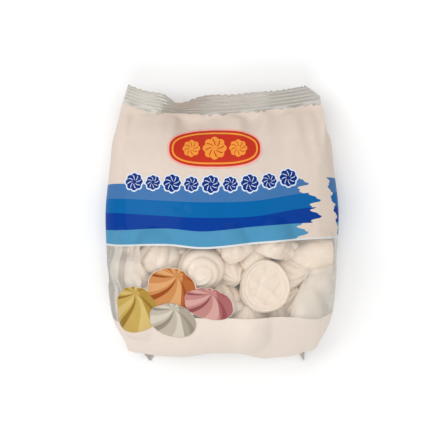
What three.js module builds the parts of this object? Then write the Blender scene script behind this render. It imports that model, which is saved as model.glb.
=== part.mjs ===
// A sealed bag of meringue cookies: clear film with side gussets and two crimped seals,
// lying on its back with the printed front up. The film and all that it holds are one solid.
// Millimetres. X runs across the bag, Y from the bottom seal to the top seal, Z up.
// The origin is on the floor, under the middle of the bag.

import * as THREE from 'three';

// Driving dimensions of the filled bag
const BAG_LENGTH = 191; // bottom end to the edge of the top seal, without the tips below
const BAG_WIDTH = 165; // across the bulged gussets
const BAG_DEPTH = 58; // floor to the crown of the front, before the cookies press out
const PANEL_WIDTH = 142; // front or back panel, which is the width of the flat top seal
const SEAL_THICKNESS = 1.2;
const SEAL_HEIGHT = 13; // crimped band at the top, lower edge to free edge

// Crimp: grooves that run across the seal
const CRIMP_RIDGES = 5;
const CRIMP_DEPTH = 0.35;

// Cookies of the front layer press the film out into low domes
const COOKIE_DIAMETER = 36;
const DOME_HEIGHT = 2.4;
const DOME_REACH = 0.4 * COOKIE_DIAMETER;
const COOKIE_ROWS = 4;
const COOKIES_IN_ROW = 4;
const FIRST_ROW_Y = -62;
const ROW_STEP_Y = 32;
const COOKIE_STEP_X = 36.9;
const ROW_SHIFT_X = 9; // rows sit left and right of the middle in turn
const DOMES_FROM = 0.5; // height in a section where the domes begin, back 0 to front 1
const DOMES_FULL = 0.95;

// Cookies that press out the bottom end, left and right of its middle
const END_LOBES = [-36, 38];
const END_LOBE_DEPTH = 5;
const END_LOBE_REACH = 24;

// Pleats that run down from the top seal, and the seal's own wave
const PLEAT_WIDTH = 23;
const PLEAT_DEPTH = 1.5;
const SEAL_WAVE_WIDTH = 88;
const SEAL_WAVE_HEIGHT = 1.8;

// The seal's free edge leans up, most of all at one kink left of the middle
const LEAN = 0.22;
const KINK_LEAN = 0.9;
const KINK_X = -31;
const KINK_LEFT_WIDTH = 9;
const KINK_RIGHT_WIDTH = 16;

// Corners of the top seal are turned in towards its free edge, the right one from part way up
const LEFT_CORNER_TURN = 4;
const RIGHT_CORNER_TURN = 12;
const RIGHT_TURN_FROM = 0.25;

// Tips of the bottom seal point out from under the bag; the seal lies right of the bag's middle
const TIP_FLARE = 14.5;
const TIP_SHARPNESS = 8;
const BOTTOM_SEAL_SHIFT = 3.7;

// Rings of the surface
const ROWS_PER_STATION = 5;
const ROWS_PER_FIN_STATION = 3;
const ROWS_PER_CRIMP = 4;
const STEPS_PER_PANEL_QUARTER = 5;
const STEPS_PER_GUSSET_HALF = 4;
const FRONT_STEPS = 4 * STEPS_PER_PANEL_QUARTER;
const GUSSET_STEPS = 2 * STEPS_PER_GUSSET_HALF;

const HALF_LENGTH = BAG_LENGTH / 2;
const HALF_WIDTH = BAG_WIDTH / 2;
const HALF_PANEL = PANEL_WIDTH / 2;

// Stations from the bottom seal's free edge to the top seal, as shares of the driving dimensions.
// front, back: middle line of each panel, [share of half length, share of depth]
// corner: half width at the panel's edges, as a share of the half panel
// side: half width at the gusset's middle line, as a share of the half width
// drop: how far the corners sit below the front, as a share of the local depth
// bow: how far the corners lie ahead of the middle line along Y, or behind it if negative, in mm
const STATIONS = [
  { front: [-0.912, 0.0], back: [-0.899, 0.0], corner: 0.77, side: 0.66, drop: 0, bow: 0 },
  { front: [-0.93, 0.08], back: [-0.917, 0.08], corner: 0.785, side: 0.68, drop: 0, bow: 0 },
  { front: [-0.948, 0.16], back: [-0.932, 0.16], corner: 0.81, side: 0.7, drop: 0.02, bow: 0 },
  { front: [-0.973, 0.3], back: [-0.885, 0.07], corner: 0.87, side: 0.805, drop: 0.16, bow: -2 },
  { front: [-0.968, 0.51], back: [-0.796, 0.01], corner: 0.885, side: 0.845, drop: 0.25, bow: -1 },
  { front: [-0.878, 0.74], back: [-0.681, 0.0], corner: 0.9, side: 0.925, drop: 0.28, bow: 0.5 },
  { front: [-0.67, 0.92], back: [-0.513, 0.0], corner: 0.92, side: 0.965, drop: 0.28, bow: 0.5 },
  { front: [-0.335, 1.0], back: [-0.262, 0.0], corner: 0.935, side: 0.985, drop: 0.28, bow: 0 },
  { front: [0.052, 1.0], back: [0.052, 0.0], corner: 0.945, side: 1.0, drop: 0.28, bow: 0 },
  { front: [0.375, 0.86], back: [0.34, 0.0], corner: 0.96, side: 0.965, drop: 0.25, bow: 1 },
  { front: [0.575, 0.64], back: [0.54, 0.05], corner: 1.0, side: 0.935, drop: 0.2, bow: 4 },
  { front: [0.7, 0.43], back: [0.675, 0.19], corner: 1.0, side: 0.83, drop: 0.1, bow: 7 },
  { front: [0.785, 0.32], back: [0.785, 0.32], corner: 0.97, side: 0.83, drop: 0, bow: 9 },
];
const BOTTOM_SEAM = 2; // station where the bottom seal opens into the bag
const TOP_SEAM = STATIONS.length - 1; // station where the top seal starts
const HEEL = 4; // station where the bottom end stands furthest out
const NECK = 9; // station where the filled body ends and the neck begins
const LEFT_BOW_POWER = 3.2; // how late the bow sets in towards each corner
const RIGHT_BOW_POWER = 1.6;
const SEAL_EDGE_BOW = 6.5; // how far the corners of the free edge lie ahead of its middle, in mm
const SEAL_RUN_IN = 0.6; // stations over which the neck closes to the seal's thickness
const GUSSET_FOLD_HEIGHT = 0.42; // of the local depth
const BACK_CORNER_HEIGHT = 0.05;
const MID_HEIGHT = 0.5; // halfway between the back and the front of a section
const HALFWAY_DROP = 0.2; // share of the drop reached halfway from the middle to the corner
const CURVE_TENSION = 0.5;

function spline(pick) {
  const points = STATIONS.map((station) => new THREE.Vector3(...pick(station)));
  return new THREE.CatmullRomCurve3(points, false, 'catmullrom', CURVE_TENSION);
}

const FRONT_LINE = spline((s) => [0, s.front[0] * HALF_LENGTH, s.front[1] * BAG_DEPTH]);
const BACK_LINE = spline((s) => [0, s.back[0] * HALF_LENGTH, s.back[1] * BAG_DEPTH]);
const WIDTHS = spline((s) => [s.corner * HALF_PANEL, s.side * HALF_WIDTH, s.drop]);
const BOWS = spline((s) => [s.bow, 0, 0]);

// Cookies of the front layer: a staggered grid of domes under the film
function domeCentres() {
  const centres = [];
  for (let row = 0; row < COOKIE_ROWS; row += 1) {
    const shift = row % 2 === 0 ? ROW_SHIFT_X : -ROW_SHIFT_X;
    for (let i = 0; i < COOKIES_IN_ROW; i += 1) {
      const x = (i - (COOKIES_IN_ROW - 1) / 2) * COOKIE_STEP_X + shift;
      centres.push(new THREE.Vector2(x, FIRST_ROW_Y + row * ROW_STEP_Y));
    }
  }
  return centres;
}
const DOMES = domeCentres();

function domeRise(x, y) {
  const heights = DOMES.map((centre) => {
    const away = Math.hypot(x - centre.x, y - centre.y) / DOME_REACH;
    return DOME_HEIGHT * Math.exp(-away * away);
  });
  return Math.max(...heights);
}

// How far the bottom end is pressed out
function endLobe(x) {
  const depths = END_LOBES.map((centre) => Math.exp(-(((x - centre) / END_LOBE_REACH) ** 2)));
  return END_LOBE_DEPTH * Math.max(...depths);
}

// How far along the neck a station lies: 0 in the filled body, 1 at the top seal
function neckShare(station) {
  return THREE.MathUtils.smoothstep(station, NECK, TOP_SEAM);
}

function pleat(x) {
  return PLEAT_DEPTH * Math.sin((2 * Math.PI * x) / PLEAT_WIDTH);
}

function sealWave(x) {
  return SEAL_WAVE_HEIGHT * Math.sin((2 * Math.PI * x) / SEAL_WAVE_WIDTH);
}

function sealLean(x) {
  const away = (x - KINK_X) / (x < KINK_X ? KINK_LEFT_WIDTH : KINK_RIGHT_WIDTH);
  return LEAN + KINK_LEAN * Math.exp(-away * away);
}

// Distance across and height above the back panel, 0 to 1, all round one section.
// The loop runs over the front from left to right, down the right gusset, and home under the back.
function sectionLoop(corner, side, drop, tension) {
  const right = [
    [0, 1],
    [corner / 2, 1 - HALFWAY_DROP * drop],
    [corner, 1 - drop],
    [side, GUSSET_FOLD_HEIGHT],
    [corner, drop > 0 ? BACK_CORNER_HEIGHT : 0],
    [corner / 2, 0],
    [0, 0],
  ];
  const left = right.slice(1, -1).reverse().map(([x, height]) => [-x, height]);
  const control = [...right, ...left].map(([x, height]) => new THREE.Vector3(x, height, 0));
  const curve = new THREE.CatmullRomCurve3(control, true, 'catmullrom', tension);
  const count = control.length;
  const gussetSpans = new Set([2, 3, 8, 9]);
  const firstSpan = 10; // the one that starts at the front panel's left edge
  const loop = [];
  for (let i = 0; i < count; i += 1) {
    const span = (firstSpan + i) % count;
    const steps = gussetSpans.has(span) ? STEPS_PER_GUSSET_HALF : STEPS_PER_PANEL_QUARTER;
    for (let k = 0; k < steps; k += 1) {
      loop.push(curve.getPoint((span + k / steps) / count));
    }
  }
  return loop;
}

// One ring of the bag below the top seal; station runs from 0 to TOP_SEAM
function bodyRing(station) {
  const t = station / TOP_SEAM;
  const front = FRONT_LINE.getPoint(t);
  const back = BACK_LINE.getPoint(t);
  const { x: corner, y: side, z: drop } = WIDTHS.getPoint(t);
  const bow = BOWS.getPoint(t).x;
  const neck = neckShare(station);
  const fin = 1 - THREE.MathUtils.smoothstep(station, 0, BOTTOM_SEAM);
  const filled = (1 - neck) * (1 - fin);
  const sealed = THREE.MathUtils.smoothstep(station, TOP_SEAM - SEAL_RUN_IN, TOP_SEAM);
  const heel = Math.exp(-((station - HEEL) ** 2));
  const loop = sectionLoop(corner, side, Math.max(drop, 0), CURVE_TENSION * filled);
  return loop.map(({ x, y: height }) => {
    const across = Math.abs(x) / corner;
    const aboveMiddle = height - MID_HEIGHT;
    const point = new THREE.Vector3().lerpVectors(back, front, height);
    point.x = x + fin * BOTTOM_SEAL_SHIFT;
    point.y += bow * Math.min(across, 1) ** (x < 0 ? LEFT_BOW_POWER : RIGHT_BOW_POWER);
    point.y -= fin * TIP_FLARE * across ** TIP_SHARPNESS;
    point.y -= heel * height * endLobe(x);
    point.z += filled * THREE.MathUtils.smoothstep(height, DOMES_FROM, DOMES_FULL) * domeRise(x, point.y);
    point.z += 2 * aboveMiddle * neck * (1 - sealed) * pleat(x);
    point.z += neck * sealWave(x);
    point.z += aboveMiddle * sealed * SEAL_THICKNESS;
    point.z = Math.max(point.z, 0);
    return point;
  });
}

// One ring of the top seal; share runs from 0 at its lower edge to 1 at its free edge
function sealRing(base, share) {
  const groove = CRIMP_DEPTH * Math.sin(Math.PI * CRIMP_RIDGES * share) ** 2;
  const straightening = STATIONS[TOP_SEAM].bow - SEAL_EDGE_BOW;
  const out = SEAL_HEIGHT * share;
  const leftTurn = LEFT_CORNER_TURN * share;
  const rightTurn = (RIGHT_CORNER_TURN * Math.max(share - RIGHT_TURN_FROM, 0)) / (1 - RIGHT_TURN_FROM);
  return base.map((point, i) => {
    const across = point.x / HALF_PANEL;
    const turn = point.x > 0 ? rightTurn : leftTurn;
    const lean = sealLean(point.x);
    const face = i <= FRONT_STEPS ? 1 : -1;
    return new THREE.Vector3(
      point.x - turn * across * Math.abs(across) ** 3,
      point.y + out * Math.cos(lean) - straightening * share * across ** 2,
      point.z + out * Math.sin(lean) - (face * groove) / 2,
    );
  });
}

function allRings() {
  const rings = [];
  for (let station = 0; station < TOP_SEAM; station += 1) {
    const rows = station < BOTTOM_SEAM ? ROWS_PER_FIN_STATION : ROWS_PER_STATION;
    for (let k = 0; k < rows; k += 1) {
      rings.push(bodyRing(station + k / rows));
    }
  }
  const seam = bodyRing(TOP_SEAM);
  const sealRows = CRIMP_RIDGES * ROWS_PER_CRIMP;
  for (let k = 0; k <= sealRows; k += 1) {
    rings.push(sealRing(seam, k / sealRows));
  }
  return rings;
}

// Triangles between neighbouring rings, then a strip that closes each end
function closedSurface(rings) {
  const around = rings[0].length;
  const index = [];
  for (let row = 0; row + 1 < rings.length; row += 1) {
    for (let i = 0; i < around; i += 1) {
      const a = row * around + i;
      const b = row * around + ((i + 1) % around);
      index.push(a, b, a + around, b, b + around, a + around);
    }
  }
  const closeEnd = (first, flip) => {
    const backLeft = 2 * FRONT_STEPS + GUSSET_STEPS;
    const add = (a, b, c) => {
      const corners = flip ? [a, c, b] : [a, b, c];
      index.push(...corners.map((i) => first + (i % around)));
    };
    for (let i = 0; i < FRONT_STEPS; i += 1) {
      add(i, i + 1, backLeft - i);
      add(i + 1, backLeft - i - 1, backLeft - i);
    }
    for (let k = 0; k + 1 < GUSSET_STEPS; k += 1) {
      add(FRONT_STEPS + k, FRONT_STEPS + k + 1, FRONT_STEPS + GUSSET_STEPS);
      add(backLeft + k + 1, around, backLeft + k);
    }
  };
  closeEnd(0, true);
  closeEnd((rings.length - 1) * around, false);
  const geometry = new THREE.BufferGeometry().setFromPoints(rings.flat());
  geometry.setIndex(index);
  geometry.computeVertexNormals();
  return geometry;
}

const film = new THREE.MeshStandardMaterial({ color: 0xe0d2c4, roughness: 0.35, metalness: 0 });
const bag = new THREE.Mesh(closedSurface(allRings()), film);
bag.name = 'bag';

// The origin lies under the middle of the bag's box
bag.geometry.computeBoundingBox();
const { min, max } = bag.geometry.boundingBox;
bag.position.set(-(min.x + max.x) / 2, -(min.y + max.y) / 2, -min.z);

const object = new THREE.Group();
object.add(bag);
export default object;
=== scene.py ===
"""A sealed bag of meringue cookies, lying on its back with the printed front up.

The film is one closed sheet with side gussets and crimped seals, draped over the cookies that it
holds. The print lies on it as thin fields of colour. Lengths are in millimetres until a mesh is
made. X runs across the bag, Y from the bottom seal to the top seal, Z up. Y starts at the middle of
the stations below, and the finished bag is shifted to the frame's origin.
"""

import math

import bpy
import numpy as np
from mathutils import Matrix, Vector


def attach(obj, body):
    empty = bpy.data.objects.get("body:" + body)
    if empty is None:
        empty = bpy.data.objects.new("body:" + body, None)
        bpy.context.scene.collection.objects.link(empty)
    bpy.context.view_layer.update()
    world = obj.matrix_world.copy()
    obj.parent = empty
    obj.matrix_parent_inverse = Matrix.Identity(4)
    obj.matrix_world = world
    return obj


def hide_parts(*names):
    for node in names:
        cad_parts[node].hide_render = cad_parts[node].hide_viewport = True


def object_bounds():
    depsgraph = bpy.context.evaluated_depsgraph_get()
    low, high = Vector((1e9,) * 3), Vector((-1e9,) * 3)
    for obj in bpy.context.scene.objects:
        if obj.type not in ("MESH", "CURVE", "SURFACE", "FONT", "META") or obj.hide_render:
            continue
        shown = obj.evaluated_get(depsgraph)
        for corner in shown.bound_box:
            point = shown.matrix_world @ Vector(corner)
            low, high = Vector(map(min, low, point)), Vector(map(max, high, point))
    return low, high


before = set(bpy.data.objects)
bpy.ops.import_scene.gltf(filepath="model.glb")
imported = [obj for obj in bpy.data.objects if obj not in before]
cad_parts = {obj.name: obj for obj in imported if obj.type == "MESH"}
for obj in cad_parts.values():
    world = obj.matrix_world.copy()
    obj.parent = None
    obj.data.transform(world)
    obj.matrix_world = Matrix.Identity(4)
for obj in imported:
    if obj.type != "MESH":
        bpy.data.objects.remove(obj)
CAD_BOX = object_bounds()
MM = 0.001
RANDOM = np.random.default_rng(7)

# Driving sizes of the film, the same as the solid's
HALF_LENGTH = 95.5
HALF_WIDTH = 82.5
HALF_PANEL = 71.0
BAG_DEPTH = 58.0
SEAL_THICKNESS = 1.2
SEAL_HEIGHT = 13.0

# Crimp of the top seal, how much deeper it is on the left, and where the seal's brighter end begins;
# its extra brightness is painted light
CRIMP_RIDGES = 5
CRIMP_DEPTH = 1.1
LEFT_CRIMP = 0.3
LEFT_CRIMP_FROM = (30, 55)
PAINTED_LIGHT_SEAL_X = -42.6

# Stations from the bottom seal's free edge to the top seal, as shares of the driving sizes:
# front y and z, back y and z, corner and side half widths, drop of the corners, and bow in mm
STATIONS = np.array([
    (-0.912, 0.0, -0.899, 0.0, 0.77, 0.66, 0, 0),
    (-0.93, 0.08, -0.917, 0.08, 0.785, 0.68, 0, 0),
    (-0.948, 0.16, -0.932, 0.16, 0.81, 0.7, 0.02, 0),
    (-0.973, 0.3, -0.885, 0.07, 0.87, 0.805, 0.16, -2),
    (-0.968, 0.51, -0.796, 0.01, 0.885, 0.845, 0.25, -1),
    (-0.878, 0.74, -0.681, 0.0, 0.9, 0.925, 0.28, 0.5),
    (-0.67, 0.92, -0.513, 0.0, 0.92, 0.965, 0.28, 0.5),
    (-0.335, 1.0, -0.262, 0.0, 0.935, 0.985, 0.28, 0),
    (0.052, 1.0, 0.052, 0.0, 0.945, 1.0, 0.28, 0),
    (0.375, 0.86, 0.34, 0.0, 0.96, 0.965, 0.25, 1),
    (0.575, 0.64, 0.54, 0.05, 1.0, 0.935, 0.2, 4),
    (0.7, 0.43, 0.675, 0.19, 1.0, 0.83, 0.1, 7),
    (0.785, 0.32, 0.785, 0.32, 0.97, 0.83, 0, 9),
])
BOTTOM_SEAM = 2
HEEL = 4
NECK = 9
TOP_SEAM = len(STATIONS) - 1
CURVE_TENSION = 0.5
GUSSET_FOLD_HEIGHT = 0.42
BACK_CORNER_HEIGHT = 0.05
HALFWAY_DROP = 0.2
MID_HEIGHT = 0.5

# Rows of film nodes in each stretch between stations, all even, and in one ridge of the crimp
STATION_ROWS = (10, 10, 8, 10, 12, 18, 26, 30, 28, 22, 14, 8)
RIDGE_ROWS = 6
# Columns of film nodes in a quarter of a panel and in half a gusset
PANEL_STEPS = 30
GUSSET_STEPS = 20
FRONT_LEFT = 2 * PANEL_STEPS + 2 * GUSSET_STEPS
FRONT_RIGHT = FRONT_LEFT + 4 * PANEL_STEPS

# Forms of the film that stay as the bag was sealed
END_LOBES = (-36.0, 38.0)
END_LOBE_DEPTH = 5.0
END_LOBE_REACH = 24.0
PLEAT_WIDTH = 23.0
PLEAT_DEPTH = 1.5
SEAL_WAVE_WIDTH = 88.0
SEAL_WAVE_HEIGHT = 1.8
SEAL_RUN_IN = 0.6
SEAL_EDGE_BOW = 6.5
LEFT_BOW_POWER = 3.2
RIGHT_BOW_POWER = 1.6
LEAN = 0.22
KINK_LEAN = 0.9
KINK_X = -31.0
KINK_WIDTHS = (9.0, 16.0)
LEFT_CORNER_TURN = 4.0
RIGHT_CORNER_TURN = 12.0
DOG_EAR_FROM = 0.25
TIP_FLARE = 14.5
TIP_SHARPNESS = 8
BOTTOM_SEAL_SHIFT = 3.7
FIN_RIDGES = 3
FIN_CRIMP = 0.25
FLOOR_GAP = 0.3
SERRATION_PITCH = 4.7
SERRATION_DEPTH = 0.9
SERRATION_DRIFT = 5.0
SERRATION_FROM = 0.8


def smoothstep(value, low, high):
    share = np.clip((value - low) / (high - low), 0, 1)
    return share * share * (3 - 2 * share)


def hermite(points, share, tension):
    """A cardinal spline between the middle two of four points."""
    before, start, end, after = points
    square, cube = share**2, share**3
    curve = start * (2 * cube - 3 * square + 1) + end * (3 * square - 2 * cube)
    leave = (cube - 2 * square + share) * (end - before)
    arrive = (cube - square) * (after - start)
    return curve + tension * (leave + arrive)


def closed_round(grid):
    """A grid with its first column repeated after its last."""
    return np.concatenate([grid, grid[:, :1]], 1)


def grid_triangles(node):
    """Two triangles for each cell of a grid of node numbers."""
    a, b, c, d = node[:-1, :-1], node[:-1, 1:], node[1:, 1:], node[1:, :-1]
    return np.stack([a, b, c, a, c, d], -1).reshape(-1, 3)


def joined(meshes):
    """Points and triangles of several meshes as one."""
    points, faces = zip(*meshes)
    starts = np.cumsum([0, *map(len, points)])
    return np.concatenate(points), np.concatenate([part + start for part, start in zip(faces, starts)])


# Film surface

def station_values(where):
    """The station table at stations that need not be whole."""
    ends = 2 * STATIONS[[0, -1]] - STATIONS[[1, -2]]
    padded = np.vstack([ends[:1], STATIONS, ends[1:]])
    first = np.minimum(where.astype(int), TOP_SEAM - 1)
    points = [padded[first + k] for k in range(4)]
    return hermite(points, (where - first)[:, None], CURVE_TENSION).T


def column_spans():
    """Span of the section's outline and share of it for each column, from the back's middle."""
    pairs = []
    for k in range(12):
        span = (6 + k) % 12
        steps = GUSSET_STEPS if span in (2, 3, 8, 9) else PANEL_STEPS
        pairs += [(span, step / steps) for step in range(steps)]
    spans, shares = zip(*pairs)
    return np.array(spans), np.array(shares)


def section_loops(corner, side, drop, tension):
    """Distance across and height above the back, 0 to 1, all round every section."""
    none, full = np.zeros_like(corner), np.ones_like(corner)
    back_corner = np.where(drop > 0, BACK_CORNER_HEIGHT, 0)
    right = [
        (none, full),
        (corner / 2, 1 - HALFWAY_DROP * drop),
        (corner, 1 - drop),
        (side, full * GUSSET_FOLD_HEIGHT),
        (corner, back_corner),
        (corner / 2, none),
        (none, none),
    ]
    left = [(-x, height) for x, height in reversed(right[1:-1])]
    control = np.array(right + left)
    spans, shares = column_spans()
    points = [control[(spans - 1 + k) % len(control)] for k in range(4)]
    loops = hermite(points, shares[:, None, None], tension)
    return loops[:, 0].T, loops[:, 1].T


def body_rings(stations):
    """Film nodes below the top seal, and the line on the front that each row starts from."""
    front_y, front_z, back_y, back_z, corner, side, drop, bow = station_values(stations)
    corner, side = corner * HALF_PANEL, side * HALF_WIDTH
    neck = smoothstep(stations, NECK, TOP_SEAM)[:, None]
    fin = 1 - smoothstep(stations, 0, BOTTOM_SEAM)[:, None]
    sealed = smoothstep(stations, TOP_SEAM - SEAL_RUN_IN, TOP_SEAM)[:, None]
    heel = np.exp(-((stations - HEEL) ** 2))[:, None]
    tension = CURVE_TENSION * ((1 - neck) * (1 - fin))[:, 0]
    x, height = section_loops(corner, side, np.maximum(drop, 0), tension)
    across = np.abs(x) / corner[:, None]
    above = height - MID_HEIGHT
    front = np.stack([front_y * HALF_LENGTH, front_z * BAG_DEPTH], 1)[:, None]
    back = np.stack([back_y * HALF_LENGTH, back_z * BAG_DEPTH], 1)[:, None]
    plane = back + (front - back) * height[..., None]
    lobes = [np.exp(-(((x - centre) / END_LOBE_REACH) ** 2)) for centre in END_LOBES]
    bow_power = np.where(x < 0, LEFT_BOW_POWER, RIGHT_BOW_POWER)
    bowed = bow[:, None] * np.minimum(across, 1) ** bow_power
    y = plane[..., 0] + bowed - fin * TIP_FLARE * across**TIP_SHARPNESS
    y -= heel * height * END_LOBE_DEPTH * np.maximum(*lobes)
    crimped = np.where(stations < BOTTOM_SEAM, np.sin(math.pi * FIN_RIDGES * stations), 0)
    y += FIN_CRIMP * crimped[:, None]
    z = plane[..., 1] + neck * SEAL_WAVE_HEIGHT * np.sin(2 * math.pi * x / SEAL_WAVE_WIDTH)
    z += 2 * above * neck * (1 - sealed) * PLEAT_DEPTH * np.sin(2 * math.pi * x / PLEAT_WIDTH)
    z += above * sealed * SEAL_THICKNESS
    x = x + fin * BOTTOM_SEAL_SHIFT
    return np.stack([x, y, np.maximum(z, 0)], -1), front[:, 0], bowed


def seal_rings(seam):
    """Film nodes of the crimped top seal, from its lower edge to its serrated free edge."""
    rows = CRIMP_RIDGES * RIDGE_ROWS
    share = (np.arange(1, rows + 1) / rows)[:, None]
    x, y, z = seam.T
    across = x / HALF_PANEL
    left_turn = LEFT_CORNER_TURN * share
    right_turn = RIGHT_CORNER_TURN * np.clip((share - DOG_EAR_FROM) / (1 - DOG_EAR_FROM), 0, 1)
    turn = np.where(x > 0, right_turn, left_turn)
    kink_width = np.where(x < KINK_X, *KINK_WIDTHS)
    lean = LEAN + KINK_LEAN * np.exp(-(((x - KINK_X) / kink_width) ** 2))
    saw = np.abs((x / SERRATION_PITCH) % 1 - 0.5) * (2 + np.sin(x / SERRATION_DRIFT))
    out = share * SEAL_HEIGHT - SERRATION_DEPTH * saw * smoothstep(share, SERRATION_FROM, 1)
    bow = (STATIONS[TOP_SEAM, -1] - SEAL_EDGE_BOW) * share * across**2
    depth = CRIMP_DEPTH * (1 + LEFT_CRIMP * smoothstep(-x, *LEFT_CRIMP_FROM))
    groove = depth * np.sin(math.pi * CRIMP_RIDGES * share) ** 2
    return np.stack([
        x - turn * across * np.abs(across) ** 3,
        y + out * np.cos(lean) - bow,
        z + out * np.sin(lean) - groove / 2,
    ], -1)


def print_places(points, front, bowed):
    """Places on the print: across from the front's middle, and up along the bag."""
    around = closed_round(points)
    steps = np.linalg.norm(np.diff(around[..., [0, 2]], axis=1), axis=-1)
    across = around[..., 0].copy()
    right_run = np.cumsum(steps[:, FRONT_RIGHT:], 1)
    left_run = np.cumsum(steps[:, :FRONT_LEFT][:, ::-1], 1)[:, ::-1]
    across[:, FRONT_RIGHT + 1:] = across[:, FRONT_RIGHT:FRONT_RIGHT + 1] + right_run
    across[:, :FRONT_LEFT] = across[:, FRONT_LEFT:FRONT_LEFT + 1] - left_run
    heel_row = sum(STATION_ROWS[:HEEL])
    line = front[:, 0].copy()
    climb = np.linalg.norm(np.diff(front, axis=0), axis=1)
    line[:heel_row] = line[heel_row] - np.cumsum(climb[:heel_row][::-1])[::-1]
    return across, line[:, None] + closed_round(bowed)


def film_rest():
    """Rest nodes of the body and the seal, with the print's places on the body."""
    stretches = [k + np.arange(n) / n for k, n in enumerate(STATION_ROWS)]
    stations = np.concatenate([*stretches, [float(TOP_SEAM)]])
    body, front, bowed = body_rings(stations)
    seal = seal_rings(body[-1])
    across, up = print_places(body, front, bowed)
    rise = np.array([0, 0, FLOOR_GAP])
    return body + rise, seal + rise, across, up, stations


# Cookies

KISS = dict(flutes=8, twist=0.4, depth=0.15, coils=0.0, taper=1.5, root=1.0)
PLAIN = dict(flutes=7, twist=0.3, depth=0.05, coils=0.0, taper=1.7, root=0.8)
ROSE = dict(flutes=0, twist=0.0, depth=0.11, coils=3.6, taper=2.0, root=0.5)
BELLY = 0.3
LOWER_ROUND = 2.3
LOWER_SHARE = 0.25
ENVELOPE = 1.03
PUSH_REACH = 1.5
ROUNDNESS = 0.95
WOBBLES = (0.03, 0.02)
# Grooves of the piping: where they begin, how round the ridges between them are, and how they fade
GROOVES_FROM = 0.1
RIDGE_ROUND = 0.7
GROOVE_FADE = 0.6
# Base: hollow, groove inside the rim as place, width and depth, flakes and cracks
BASE_HOLLOW = 0.6
BASE_GROOVE = (0.9, 0.05, 1.1)
BASE_FLAKES = 0.3
FLAKE_WAVES = 5
FLAKE_LEAST = (0, 9, 0)
FLAKE_MOST = (6, 24, 6)
FLOOR_EDGE = (0.7, 0.95)
BASE_CRACKS = 3
CRACK_DEPTH = 0.6
CRACK_WIDTH = 1.3
CRACK_SPREAD = 0.4
TIP_LEAN = 0.16


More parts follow.
